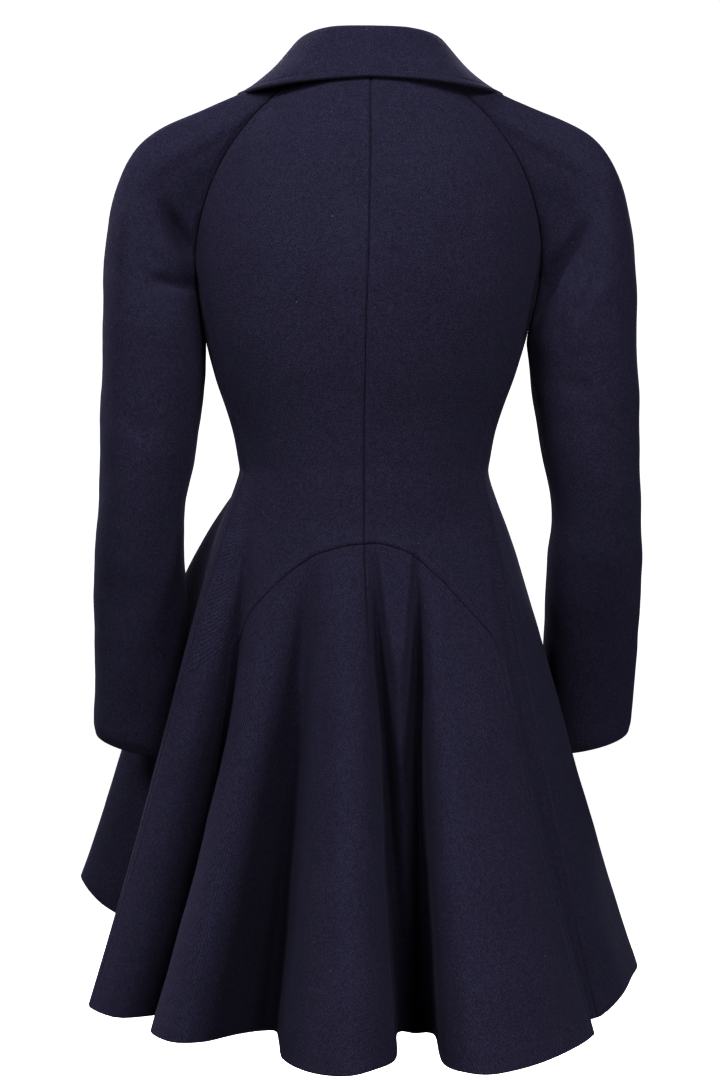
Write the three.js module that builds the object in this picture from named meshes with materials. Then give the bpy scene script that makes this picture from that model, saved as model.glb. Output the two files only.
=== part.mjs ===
// Flared wool coat, filled out as it is when worn, in millimetres.
// +Z is up, the back faces +Y and the wearer's left is +X.
// The origin is at the nape of the neck, in the middle of the neck opening.
import * as THREE from 'three';

// Cloth
const WALL = 2.2;
const COLLAR_WALL = 3.0;
const SEAM_GAP = 0.44;

// Heights below the nape
const UNDERARM = 200;
const WAIST = 388;
const BACK_HEM = 925;
const ARCH_END = 565;
const STRIP_TOP = 600;

// Angles round the body: 0 is the back centre, 180 the front centre, plus is the wearer's left
const ARCH_ANGLE = 60;
const OVERLAP_START = 160;
const OVERLAP_RAMP = 9;
const OVERLAP_LIFT = 4.0;

// Body sections: height below the nape, half width, back depth, front depth, sideways lean
const BODY = [
  { down: -10, half: 64, back: 57, front: 30, lean: -4 },
  { down: 0, half: 75, back: 61, front: 35, lean: -4 },
  { down: 30, half: 103, back: 76, front: 47, lean: -4 },
  { down: 60, half: 130, back: 88, front: 58, lean: -4 },
  { down: 100, half: 152, back: 99, front: 82, lean: -4 },
  { down: 150, half: 163, back: 107, front: 108, lean: -3 },
  { down: 200, half: 164, back: 110, front: 121, lean: -2 },
  { down: 250, half: 155.5, back: 107, front: 120, lean: 0 },
  { down: 300, half: 142.5, back: 100, front: 111, lean: 1 },
  { down: 350, half: 125, back: 90, front: 101, lean: 2 },
  { down: 388, half: 118, back: 85, front: 96, lean: 2 },
];

// Hem without its folds, and where down the skirt the middle of the back begins to stand out
const HEM = { half: 230, back: 204, front: 212 };
const FLARE = { start: 0.1, power: 1.35 };

// Folds at the hem: angle of the cloth line at the waist, place at the hem, how far down the skirt
// the fold begins, from 0 at the waist to 1 at the hem, and how much it stands out at the hip
const FOLDS = [
  { at: -180, x: -5, y: -228, z: -860, start: 0.1, hip: 0 },
  { at: -170, x: -44, y: -240, z: -861, start: 0.1, hip: 0 },
  { at: -162, x: -80, y: -238, z: -861, start: 0.1, hip: 0 },
  { at: -152, x: -114, y: -210, z: -860, start: 0.1, hip: 0 },
  { at: -144, x: -150, y: -242, z: -858, start: 0.08, hip: 0 },
  { at: -137, x: -176, y: -236, z: -859, start: 0.06, hip: 0 },
  { at: -127, x: -180, y: -192, z: -862, start: 0.05, hip: 0 },
  { at: -110, x: -190, y: -124, z: -866, start: 0.05, hip: 0 },
  { at: -101, x: -248, y: -106, z: -866, start: 0.02, hip: 0 },
  { at: -94, x: -264, y: -74, z: -869, start: 0, hip: -4 },
  { at: -87, x: -256, y: -36, z: -876, start: 0, hip: -5 },
  { at: -79, x: -243, y: 6, z: -888, start: 0, hip: -5 },
  { at: -71, x: -221, y: 44, z: -901, start: 0.03, hip: 0 },
  { at: -67, x: -201, y: 64, z: -905, start: 0.08, hip: 0 },
  { at: -60, x: -207, y: 120, z: -908, start: 0.14, hip: 0 },
  { at: -51, x: -163, y: 188, z: -919, start: 0.14, hip: 0 },
  { at: -44, x: -117, y: 224, z: -925, start: 0.14, hip: 0 },
  { at: -37, x: -87, y: 225, z: -924, start: 0.13, hip: 0 },
  { at: -31, x: -68, y: 190, z: -922, start: 0.12, hip: 0 },
  { at: -23, x: -63, y: 75, z: -915, start: 0.12, hip: 0 },
  { at: -13, x: -45, y: 70, z: -914, start: 0.34, hip: 0 },
  { at: -5, x: -29, y: 90, z: -911, start: 0.12, hip: 0 },
  { at: 1, x: -26, y: 185, z: -919.5, start: 0.13, hip: 0 },
  { at: 4, x: -10, y: 224, z: -921, start: 0.14, hip: 0 },
  { at: 9, x: 17, y: 243, z: -924, start: 0.14, hip: 0 },
  { at: 14, x: 50, y: 219, z: -925, start: 0.13, hip: 0 },
  { at: 18, x: 75, y: 168, z: -922, start: 0.12, hip: 0 },
  { at: 21, x: 80, y: 118, z: -915, start: 0.12, hip: 0 },
  { at: 24, x: 84, y: 72, z: -912, start: 0.12, hip: 0 },
  { at: 27, x: 95, y: 60, z: -913, start: 0.12, hip: 0 },
  { at: 31, x: 117, y: 100, z: -910, start: 0.13, hip: 0 },
  { at: 37, x: 148, y: 146, z: -910, start: 0.15, hip: 0 },
  { at: 44, x: 177, y: 158, z: -907.5, start: 0.16, hip: 0 },
  { at: 50, x: 197, y: 120, z: -904, start: 0.16, hip: 0 },
  { at: 55, x: 184, y: 64, z: -904, start: 0.14, hip: 0 },
  { at: 59, x: 173, y: 14, z: -902, start: 0.1, hip: 0 },
  { at: 62, x: 206, y: 66, z: -899, start: 0.07, hip: 0 },
  { at: 65, x: 232, y: 78, z: -898, start: 0.03, hip: 4 },
  { at: 70, x: 259, y: 47, z: -892, start: 0, hip: 7 },
  { at: 76, x: 250, y: 8, z: -886, start: 0, hip: 7 },
  { at: 86, x: 203, y: -26, z: -878, start: 0, hip: 4 },
  { at: 104, x: 196, y: -122, z: -855, start: 0, hip: 20 },
  { at: 112, x: 264, y: -168, z: -822, start: 0, hip: 32 },
  { at: 119, x: 289, y: -200, z: -797, start: 0, hip: 30 },
  { at: 126, x: 270, y: -226, z: -812, start: 0, hip: 20 },
  { at: 136, x: 198, y: -212, z: -842, start: 0.03, hip: 6 },
  { at: 144, x: 168, y: -244, z: -850, start: 0.06, hip: 0 },
  { at: 151, x: 134, y: -262, z: -853, start: 0.08, hip: 0 },
  { at: 157, x: 106, y: -248, z: -855, start: 0.1, hip: 0 },
  { at: 166, x: 62, y: -216, z: -858, start: 0.1, hip: 0 },
];

// Raglan seam: height below the nape, angle on the back, angle on the front
const RAGLAN = [
  { down: 0, back: 48, front: 128 },
  { down: 30, back: 50, front: 128 },
  { down: 60, back: 57.5, front: 122 },
  { down: 100, back: 66, front: 114 },
  { down: 150, back: 75.5, front: 104.5 },
  { down: 178, back: 81, front: 98 },
  { down: 193, back: 86, front: 93.5 },
  { down: 200, back: 90, front: 90 },
];

// Side seam: height below the nape, angle
const SIDE = [
  { down: 200, at: 90 },
  { down: 260, at: 84 },
  { down: 330, at: 74 },
  { down: 388, at: 70 },
  { down: 925, at: 70 },
];

// Arched seam: angle, height below the nape
const ARCH = [
  { at: 0, down: 461 },
  { at: 8.3, down: 462 },
  { at: 17, down: 467 },
  { at: 24.5, down: 475 },
  { at: 32, down: 486 },
  { at: 40, down: 499 },
  { at: 47.5, down: 516 },
  { at: 53, down: 533 },
  { at: 57.5, down: 549 },
  { at: 60, down: 565 },
];

// Neckline: angle, height below the nape
const NECK = [
  { at: 0, down: 0 },
  { at: 48, down: 1 },
  { at: 90, down: 18 },
  { at: 128, down: 30 },
  { at: 160, down: 58 },
  { at: 180, down: 70 },
  { at: 195, down: 70 },
];

// Sleeve rings below the underarm for each side: height, inner and outer edge across,
// middle and half depth front to back
const SLEEVES = {
  left: [
    { z: -270, inner: 154, outer: 249, mid: -5, deep: 56 },
    { z: -300, inner: 155, outer: 249, mid: -6, deep: 54 },
    { z: -340, inner: 160, outer: 251, mid: -7, deep: 51 },
    { z: -380, inner: 166, outer: 252, mid: -9, deep: 48 },
    { z: -420, inner: 173.5, outer: 253, mid: -14, deep: 46 },
    { z: -470, inner: 175.5, outer: 257, mid: -24, deep: 44 },
    { z: -520, inner: 174, outer: 259, mid: -37, deep: 42 },
    { z: -570, inner: 174, outer: 260, mid: -49, deep: 40 },
    { z: -620, inner: 174, outer: 262, mid: -60, deep: 38 },
    { z: -651, inner: 176, outer: 262, mid: -67, deep: 37 },
  ],
  right: [
    { z: -270, inner: -155, outer: -256, mid: -5, deep: 56 },
    { z: -300, inner: -158.5, outer: -257, mid: -6, deep: 54 },
    { z: -340, inner: -163.5, outer: -257.5, mid: -7, deep: 51 },
    { z: -380, inner: -171, outer: -258, mid: -10, deep: 48 },
    { z: -420, inner: -179, outer: -260.5, mid: -17, deep: 46 },
    { z: -470, inner: -176.5, outer: -263, mid: -32, deep: 44 },
    { z: -520, inner: -175, outer: -263, mid: -55, deep: 42 },
    { z: -570, inner: -175, outer: -262, mid: -82, deep: 40 },
    { z: -620, inner: -176, outer: -260.5, mid: -106, deep: 38 },
    { z: -651, inner: -178, outer: -259, mid: -118, deep: 37 },
  ],
};
// Slope of the cuff edge, front to back and across
const CUFF_TILT = 0.28;
const CUFF_LEAN = 0.22;


// Collar: angle, foot of the stand, roll line and free edge of the fall
const COLLAR = [
  { at: 0, roll: [0, 55, 22], edge: [0, 82, -25] },
  { at: 25, roll: [32, 50, 22], edge: [52, 78, -26] },
  { at: 50, roll: [55, 33, 18], edge: [96, 64, -30] },
  { at: 75, roll: [66, 11, 9], edge: [121, 30, -34] },
  { at: 100, roll: [68, -11, -2], edge: [127, -16, -35] },
  { at: 125, roll: [60, -31, -15], edge: [117, -64, -60] },
  { at: 150, roll: [43, -50, -34], edge: [92, -98, -104] },
  { at: 170, roll: [17, -63, -54], edge: [66, -112, -132] },
];

// Buttons down the front
const BUTTONS = { count: 5, top: 118, bottom: 344, at: 180, radius: 13, thick: 4 };

const rad = (degrees) => (degrees * Math.PI) / 180;
const mix = (a, b, t) => a + (b - a) * t;
const ease = (t) => {
  const u = Math.min(1, Math.max(0, t));
  return u * u * (3 - 2 * u);
};

// Smooth curve through the rows of a table
function follow(rows, key, at, name) {
  const last = rows.length - 1;
  const forward = rows[last][key] > rows[0][key] ? 1 : -1;
  let i = 0;
  while (i < last - 1 && (at - rows[i + 1][key]) * forward > 0) {
    i += 1;
  }
  const a = rows[i];
  const b = rows[i + 1];
  const span = b[key] - a[key];
  const t = Math.min(1, Math.max(0, (at - a[key]) / span));
  const slope = (j) => {
    const p = rows[Math.max(0, j - 1)];
    const q = rows[Math.min(last, j + 1)];
    return (q[name] - p[name]) / (q[key] - p[key]);
  };
  const t2 = t * t;
  const t3 = t2 * t;
  return (2 * t3 - 3 * t2 + 1) * a[name] + (t3 - 2 * t2 + t) * span * slope(i)
    + (3 * t2 - 2 * t3) * b[name] + (t3 - t2) * span * slope(i + 1);
}

// Angle brought into the range from -180 to 180
function wrap(at) {
  return ((((at + 180) % 360) + 360) % 360) - 180;
}

// Fold value between the rows round the hem
function fold(at, name) {
  const count = FOLDS.length;
  const w = wrap(at);
  let i = count - 1;
  while (FOLDS[i].at > w) {
    i -= 1;
  }
  const row = (j) => {
    const k = ((j % count) + count) % count;
    const turn = Math.floor(j / count) * 360;
    return { at: FOLDS[k].at + turn, v: FOLDS[k][name] };
  };
  const p = row(i - 1);
  const a = row(i);
  const b = row(i + 1);
  const q = row(i + 2);
  const span = b.at - a.at;
  const t = (w - a.at) / span;
  const ma = ((b.v - p.v) / (b.at - p.at)) * span;
  const mb = ((q.v - a.v) / (q.at - a.at)) * span;
  const t2 = t * t;
  const t3 = t2 * t;
  return (2 * t3 - 3 * t2 + 1) * a.v + (t3 - 2 * t2 + t) * ma + (3 * t2 - 2 * t3) * b.v + (t3 - t2) * mb;
}

// Point on the outside of the body and skirt at an angle and a height below the nape
function surface(at, down) {
  const s = Math.sin(rad(at));
  const c = Math.cos(rad(at));
  const level = Math.min(down, WAIST);
  const half = follow(BODY, 'down', level, 'half');
  const deep = follow(BODY, 'down', level, c > 0 ? 'back' : 'front');
  const lean = follow(BODY, 'down', level, 'lean');
  const x = lean + half * s;
  const y = deep * c;
  if (down <= WAIST) {
    return new THREE.Vector3(x, y, -down);
  }
  const t = (down - WAIST) / (BACK_HEM - WAIST);
  const late = ((t * t) / (t + 0.03)) * 1.03;
  const grow = late + 0.8 * late * (1 - late) ** 3;
  const behind = ease(c * 1.4 - 0.1);
  const spread = mix(grow, Math.max(0, (t - FLARE.start) / (1 - FLARE.start)) ** FLARE.power, behind);
  const hemX = HEM.half * s;
  const hemY = (c > 0 ? HEM.back : HEM.front) * c;
  const start = fold(at, 'start');
  const f = Math.max(0, (t - start) / (1 - start));
  const folded = (f * f) / (f + 0.06) * 1.06;
  const foldX = fold(at, 'x');
  const foldY = fold(at, 'y');
  const push = (fold(at, 'hip') * Math.sin(Math.PI * t ** 0.6) * t) / (t + 0.03) / Math.hypot(foldX, foldY);
  const px = mix(x, hemX, spread) + (foldX - hemX) * folded + foldX * push;
  const py = mix(y, hemY, spread) + (foldY - hemY) * folded + foldY * push;
  return new THREE.Vector3(px, py, mix(-WAIST, fold(at, 'z'), t));
}

// Outward direction of the cloth on the body
function outward(at, down) {
  const du = surface(at + 0.5, down).sub(surface(at - 0.5, down));
  const dv = surface(at, down + 1.5).sub(surface(at, down - 1.5));
  return du.cross(dv).normalize();
}

// Moves a point of a seam by half the seam gap: side 1 is back towards the back centre or down,
// side -1 is the other way
function drawIn(spot, along, side, mirror) {
  const [at, down] = spot;
  const u = surface((at + 0.2) * mirror, down).sub(surface((at - 0.2) * mirror, down)).multiplyScalar(2.5);
  const v = surface(at * mirror, down + 0.5).sub(surface(at * mirror, down - 0.5));
  const path = u.clone().multiplyScalar(along[0]).add(v.clone().multiplyScalar(along[1])).normalize();
  const want = outward(at * mirror, down).cross(path).normalize();
  want.multiplyScalar((side * mirror * SEAM_GAP) / 2);
  const uu = u.dot(u);
  const uv = u.dot(v);
  const vv = v.dot(v);
  const det = uu * vv - uv * uv;
  const a = (want.dot(u) * vv - want.dot(v) * uv) / det;
  const b = (want.dot(v) * uu - want.dot(u) * uv) / det;
  return [at + a, down + b];
}

// A line of spots, every one moved off the seam by half the gap
function insetLine(line, side, mirror) {
  return line.map((spot, i) => {
    const p = line[Math.max(0, i - 1)];
    const q = line[Math.min(line.length - 1, i + 1)];
    return drawIn(spot, [q[0] - p[0], q[1] - p[1]], side, mirror);
  });
}

// Heights of the shared rows, so that panels that meet share their points
const RAGLAN_ROWS = [0, 1, 2, 3, 4, 5, 6, 7, 8].map((i) => i / 8);
const BODY_ROWS = [215, 235, 260, 290, 322, 355, 388, 412, 440, 470, 502, 535, 568, 600];
const STRIP_ROWS = [0.1, 0.2, 0.32, 0.44, 0.57, 0.7, 0.83, 0.93, 1];
// Angles of the columns of points on the back, closer together where folds turn
const BACK_COLUMNS = {
  left: [0, 3, 6, 9, 12, 15, 18, 21, 24, 27, 31, 37, 44, 50, 55, 58, 60],
  right: [0, 3, 5, 9, 13, 18, 23, 27, 31, 34, 37, 41, 46, 51, 55, 58, 60],
};

const FRONT_COLUMNS = {
  left: [70, 75, 80, 86, 95, 104, 108, 112, 119, 126, 131, 136, 144, 151, 156, 160, 164.5, 169, 174, 180, 186, 191],
  right: [70, 75, 80, 84, 88, 94, 100, 105, 110, 119, 128, 133, 138, 145, 152, 160, 164.5, 169, 174, 180, 186, 191],
};

const sideAngle = (down) => follow(SIDE, 'down', down, 'at');
const archDown = (at) => follow(ARCH, 'at', at, 'down');
const neckDown = (at) => follow(NECK, 'at', Math.abs(at), 'down');

// Raglan seam from the neckline to the underarm, on the back or the front
function raglanLine(face) {
  const top = face === 'back' ? neckDown(48) : neckDown(128);
  return RAGLAN_ROWS.map((s) => {
    const down = mix(top, UNDERARM, 1 - (1 - s) ** 1.25);
    return [follow(RAGLAN, 'down', down, face), down];
  });
}

// Edge of a back or front panel from the neckline to the hem
function sideLine(face) {
  const rows = raglanLine(face);
  BODY_ROWS.forEach((down) => rows.push([sideAngle(down), down]));
  STRIP_ROWS.forEach((s) => {
    const down = mix(STRIP_TOP, BACK_HEM, s);
    rows.push([sideAngle(down), down]);
  });
  return rows;
}

// Sheet of cloth: spots on the body are turned into points, with the turning direction kept
class Sheet {
  constructor() {
    this.points = [];
    this.normals = [];
    this.faces = [];
  }

  spot(at, down, mirror, lift = 0) {
    const normal = outward(at * mirror, down);
    this.points.push(surface(at * mirror, down).add(normal.clone().multiplyScalar(lift)));
    this.normals.push(normal);
    return this.points.length - 1;
  }

  quad(a, b, c, d) {
    if (this.points[a].distanceTo(this.points[c]) < this.points[b].distanceTo(this.points[d])) {
      this.faces.push([a, b, c], [a, c, d]);
    } else {
      this.faces.push([a, b, d], [b, c, d]);
    }
  }

  grid(rows) {
    for (let j = 0; j + 1 < rows.length; j += 1) {
      for (let i = 0; i + 1 < rows[j].length; i += 1) {
        this.quad(rows[j][i], rows[j][i + 1], rows[j + 1][i + 1], rows[j + 1][i]);
      }
    }
  }
}

// Closed wall made from a sheet: its outside, its inside and a strip along each free edge
function wall(sheet, thick, flip) {
  const count = sheet.points.length;
  const verts = [];
  sheet.points.forEach((p) => verts.push(p.x, p.y, p.z));
  sheet.points.forEach((p, i) => {
    const q = p.clone().sub(sheet.normals[i].clone().multiplyScalar(thick));
    verts.push(q.x, q.y, q.z);
  });
  const faces = sheet.faces.map((f) => (flip ? [f[0], f[2], f[1]] : f));
  const index = [];
  const edges = new Map();
  faces.forEach(([a, b, c]) => {
    index.push(a, b, c, a + count, c + count, b + count);
    [[a, b], [b, c], [c, a]].forEach(([p, q]) => {
      const back = `${q}_${p}`;
      if (edges.has(back)) {
        edges.delete(back);
      } else {
        edges.set(`${p}_${q}`, [p, q]);
      }
    });
  });
  const apart = (a, b) => {
    const step = (k) => verts[3 * a + k] - verts[3 * b + k];
    return Math.hypot(step(0), step(1), step(2));
  };
  edges.forEach(([p, q]) => {
    if (apart(q, p + count) < apart(p, q + count)) {
      index.push(q, p, p + count, q, p + count, q + count);
    } else {
      index.push(q, p, q + count, p, p + count, q + count);
    }
  });
  const geometry = new THREE.BufferGeometry();
  geometry.setAttribute('position', new THREE.Float32BufferAttribute(verts, 3));
  geometry.setIndex(index);
  geometry.computeVertexNormals();
  return geometry;
}

const WOOL = 0x1c1b2b;
const BUTTON = 0x14141a;

function piece(name, geometry, color, roughness) {
  const mesh = new THREE.Mesh(geometry, new THREE.MeshStandardMaterial({ color, roughness }));
  mesh.name = name;
  return mesh;
}

// Back panel: bodice above the arched seam and a strip beside it down to the hem
function backPanel(mirror) {
  const sheet = new Sheet();
  const edge = insetLine(sideLine('back'), 1, mirror);
  const bodyCount = RAGLAN_ROWS.length + BODY_ROWS.length;
  const archColumns = mirror > 0 ? BACK_COLUMNS.left : BACK_COLUMNS.right;
  const archEdge = insetLine(archColumns.map((at) => [at, archDown(at)]), -1, mirror);
  const strip = [62, 65, 70];
  const columns = archColumns.length + strip.length;
  const neckEnd = edge[0][1];
  const body = [];
  for (let j = 0; j < bodyCount; j += 1) {
    const s = (edge[j][1] - neckEnd) / (edge[bodyCount - 1][1] - neckEnd);
    const row = [];
    for (let i = 0; i < columns; i += 1) {
      const even = i / (columns - 1);
      const isArch = i < archColumns.length;
      const foot = isArch ? archEdge[i] : [strip[i - archColumns.length], 0];
      const part = (foot[0] - 60) / 10;
      const footDown = isArch ? foot[1] : mix(ARCH_END, STRIP_TOP, part);
      const top = neckDown(48 * even);
      const down = i === columns - 1 ? edge[j][1] : mix(top, footDown, s);
      const across = mix(even * edgeAngle(edge, down), foot[0], ease(s * 1.3));
      const at = i === columns - 1 ? edge[j][0] : across;
      row.push(sheet.spot(Math.max(at, cbGap(down)), down, mirror));
    }
    body.push(row);
  }
  sheet.grid(body);
  const lower = body[body.length - 1].slice(archColumns.length - 1);
  const rows = [lower];
  const inner = insetLine(stripSeam(), -1, mirror);
  STRIP_ROWS.forEach((s, k) => {
    const left = inner[k + 1];
    const right = edge[bodyCount + k];
    const row = [sheet.spot(left[0], left[1], mirror)];
    strip.slice(0, -1).forEach((at) => {
      const part = (at - 60) / 10;
      row.push(sheet.spot(mix(left[0], right[0], part), mix(left[1], right[1], part), mirror));
    });
    row.push(sheet.spot(right[0], right[1], mirror));
    rows.push(row);
  });
  sheet.grid(rows);
  return wall(sheet, WALL, mirror < 0);
}

// Angle of the panel edge at a height, read from its own line of points
function edgeAngle(edge, down) {
  let i = 0;
  while (i < edge.length - 2 && edge[i + 1][1] < down) {
    i += 1;
  }
  const t = (down - edge[i][1]) / (edge[i + 1][1] - edge[i][1]);
  return mix(edge[i][0], edge[i + 1][0], Math.min(1, Math.max(0, t)));
}

// Angle that leaves half the seam gap at the back centre
function cbGap(down) {
  const p = surface(0, down);
  const q = surface(1, down);
  return SEAM_GAP / 2 / p.distanceTo(q);
}

// Seam between the strip of the back panel and the back skirt, from the end of the arch to the hem
function stripSeam() {
  return [0].concat(STRIP_ROWS).map((s) => [ARCH_ANGLE, mix(ARCH_END, BACK_HEM, s)]);
}

// Back skirt below the arched seam
function backSkirt(mirror) {
  const sheet = new Sheet();
  const columns = mirror > 0 ? BACK_COLUMNS.left : BACK_COLUMNS.right;
  const arch = insetLine(columns.map((at) => [at, archDown(at)]), 1, mirror);
  const outer = insetLine(stripSeam(), 1, mirror);
  const rows = [0].concat(STRIP_ROWS).map((s, j) => columns.map((at, i) => {
    if (i === columns.length - 1) {
      const corner = j === 0 ? arch[i] : outer[j];
      return sheet.spot(corner[0], corner[1], mirror);
    }
    const down = mix(arch[i][1], BACK_HEM, s);
    const swing = mix(arch[i][0], at, s);
    return sheet.spot(Math.max(swing, cbGap(down)), down, mirror);
  }));
  sheet.grid(rows);
  return wall(sheet, WALL, mirror < 0);
}

// Front panel from the neckline to the hem
function frontPanel(mirror) {
  const sheet = new Sheet();
  const edge = insetLine(sideLine('front'), -1, mirror);
  const columns = mirror > 0 ? FRONT_COLUMNS.left : FRONT_COLUMNS.right;
  const start = edge[0][1];
  const last = edge[edge.length - 1][1];
  const rows = edge.map((spot) => columns.map((column, i) => {
    if (i === 0) {
      return sheet.spot(spot[0], spot[1], mirror);
    }
    const s = (spot[1] - start) / (last - start);
    let at = column;
    if (column < OVERLAP_START) {
      const guess = mix(neckDown(column), BACK_HEM, s);
      const part = (OVERLAP_START - column) / (OVERLAP_START - columns[0]);
      at = OVERLAP_START - part * (OVERLAP_START - edgeAngle(edge, guess));
    }
    const over = Math.max(0, Math.min(1, (at - OVERLAP_START) / OVERLAP_RAMP));
    const lift = mirror < 0 ? OVERLAP_LIFT * over * over * (3 - 2 * over) : 0;
    return sheet.spot(at, mix(neckDown(at), BACK_HEM, s), mirror, lift);
  }));
  sheet.grid(rows);
  return wall(sheet, WALL, mirror < 0);
}

// Ring of a sleeve at one height, from the middle of its outer side round by the back
function sleeveRing(row, angles, mirror, last) {
  const midX = (row.inner + row.outer) / 2;
  const half = Math.abs(row.outer - row.inner) / 2;
  return angles.map((at) => {
    const c = Math.cos(rad(at));
    const s = Math.sin(rad(at));
    const y = row.mid + row.deep * Math.sign(s) * Math.abs(s) ** 0.92;
    const x = midX + mirror * half * Math.sign(c) * Math.abs(c) ** 0.92;
    const tilt = CUFF_TILT * (y - row.mid) - CUFF_LEAN * mirror * (x - midX);
    return new THREE.Vector3(x, y, row.z - last * last * tilt);
  });
}

// Raglan sleeve, an open tube from the neckline and armhole to the cuff
function sleeve(mirror) {
  const table = mirror > 0 ? SLEEVES.left : SLEEVES.right;
  const back = insetLine(raglanLine('back'), -1, mirror);
  const front = insetLine(raglanLine('front'), 1, mirror);
  const loop = [];
  const angles = [];
  const steps = back.length - 1;
  back.forEach(([at, down], i) => {
    loop.push([at, down]);
    angles.push(30 + 150 * (i / steps) ** 1.05);
  });
  front.slice(0, -1).reverse().forEach(([at, down], i) => {
    loop.push([at, down]);
    angles.push(180 + 150 * (1 - (1 - (i + 1) / steps) ** 1.05));
  });
  [1, 2, 3, 4, 5].forEach((i) => {
    const at = mix(128, 48, i / 6);
    loop.push([at, neckDown(at)]);
    angles.push(330 + 60 * (i / 6));
  });
  const sheet = new Sheet();
  const start = loop.map(([at, down]) => surface(at * mirror, down));
  const facing = loop.map(([at, down]) => outward(at * mirror, down));
  start[steps].z += SEAM_GAP;
  const top = sleeveRing(table[0], angles, mirror, 0);
  const count = loop.length;
  const rings = [];
  const capRows = 8;
  for (let j = 0; j < capRows; j += 1) {
    const t = j / capRows;
    const ring = loop.map((spot, i) => {
      const a = start[i];
      const d = top[i];
      const reach = a.distanceTo(d);
      const away = new THREE.Vector3(mirror, 0, -0.5).normalize();
      const flat = away.clone().sub(facing[i].clone().multiplyScalar(away.dot(facing[i]) * 0.75));
      const low = Math.max(0, Math.cos(rad(angles[i] - 180))) ** 3;
      const leave = flat.lerp(new THREE.Vector3(0.12 * mirror, 0, -1), low).normalize();
      const b = a.clone().add(leave.multiplyScalar(reach * mix(0.55, 0.3, low)));
      const c = d.clone().add(new THREE.Vector3(0, 0, reach * mix(0.77, 0.3, low)));
      const k = 1 - t;
      return new THREE.Vector3()
        .addScaledVector(a, k * k * k)
        .addScaledVector(b, 3 * k * k * t)
        .addScaledVector(c, 3 * k * t * t)
        .addScaledVector(d, t * t * t);
    });
    rings.push(ring);
  }
  table.forEach((row, j) => {
    rings.push(sleeveRing(row, angles, mirror, j / (table.length - 1)));
    const next = table[j + 1];
    if (next && next.z - row.z < -39) {
      const between = { z: mix(row.z, next.z, 0.5) };
      ['inner', 'outer', 'mid', 'deep'].forEach((name) => {
        between[name] = follow(table, 'z', between.z, name);
      });
      rings.push(sleeveRing(between, angles, mirror, (j + 0.5) / (table.length - 1)));
    }
  });
  rings.forEach((ring) => ring.forEach((p) => sheet.points.push(p)));
  for (let j = 0; j + 1 < rings.length; j += 1) {
    for (let i = 0; i < count; i += 1) {
      const k = (i + 1) % count;
      sheet.quad(j * count + i, j * count + k, (j + 1) * count + k, (j + 1) * count + i);
    }
  }
  ownNormals(sheet);
  if (mirror > 0) {
    sheet.normals.forEach((n) => n.negate());
  }
  return wall(sheet, WALL, mirror > 0);
}

// Directions worked out from the faces of a sheet
function ownNormals(sheet) {
  sheet.normals = sheet.points.map(() => new THREE.Vector3());
  sheet.faces.forEach(([a, b, c]) => {
    const ab = sheet.points[b].clone().sub(sheet.points[a]);
    const ac = sheet.points[c].clone().sub(sheet.points[a]);
    const n = ab.cross(ac);
    [a, b, c].forEach((i) => sheet.normals[i].add(n));
  });
  sheet.normals.forEach((n) => n.normalize());
}

// Turn-down collar: a stand up from the neckline, a rounded roll and the fall over the shoulders
function collar() {
  const sheet = new Sheet();
  const columns = 26;
  const line = (at, name, axis) => {
    const rows = COLLAR.map((row) => ({ at: row.at, v: row[name][axis] }));
    return follow(rows, 'at', Math.abs(at), 'v');
  };
  const rows = [];
  for (let i = 0; i <= columns; i += 1) {
    const at = mix(-170, 170, i / columns);
    const sign = at < 0 ? -1 : 1;
    const foot = surface(at, neckDown(at));
    foot.z += 1.5;
    foot.add(outward(at, neckDown(at)).multiplyScalar(-0.6));
    const roll = new THREE.Vector3(line(at, 'roll', 0) * sign - 4, line(at, 'roll', 1), line(at, 'roll', 2));
    const edge = new THREE.Vector3(line(at, 'edge', 0) * sign - 4, line(at, 'edge', 1), line(at, 'edge', 2));
    const away = edge.clone().sub(roll);
    away.z = 0;
    away.normalize();
    const bulge = 1 + 4 * Math.max(0, Math.cos(rad(at)));
    const shape = [
      foot,
      foot.clone().lerp(roll, 0.5),
      roll.clone().add(new THREE.Vector3(0, 0, -5)),
      roll.clone().add(away.clone().multiplyScalar(2)).add(new THREE.Vector3(0, 0, -0.5)),
      roll.clone().add(away.clone().multiplyScalar(6.5)).add(new THREE.Vector3(0, 0, 1)),
      roll.clone().add(away.clone().multiplyScalar(11)).add(new THREE.Vector3(0, 0, -3)),
      roll.clone().lerp(edge, 0.45).add(away.clone().multiplyScalar(bulge)).add(new THREE.Vector3(0, 0, -1)),
      roll.clone().lerp(edge, 0.75).add(away.clone().multiplyScalar(bulge - 2.5)),
      edge,
    ];
    rows.push(shape.map((p) => {
      sheet.points.push(p);
      return sheet.points.length - 1;
    }));
  }
  sheet.grid(rows);
  ownNormals(sheet);
  return wall(sheet, COLLAR_WALL, false);
}

// Round button with a dished face, standing on the outer front
function button(down) {
  const { radius, thick } = BUTTONS;
  const outline = [[0, 0], [radius - 0.8, 0], [radius, 0.8], [radius, thick - 1], [radius - 1, thick],
    [radius - 3, thick - 0.4], [radius - 4.5, thick - 1.3], [0, thick - 1.3]];
  const geometry = new THREE.LatheGeometry(outline.map(([r, h]) => new THREE.Vector2(r, h)), 14);
  const normal = outward(BUTTONS.at, down);
  const turn = new THREE.Quaternion().setFromUnitVectors(new THREE.Vector3(0, 1, 0), normal);
  geometry.applyQuaternion(turn);
  const place = surface(BUTTONS.at, down).add(normal.multiplyScalar(OVERLAP_LIFT + 0.6));
  geometry.translate(place.x, place.y, place.z);
  return geometry;
}

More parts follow.
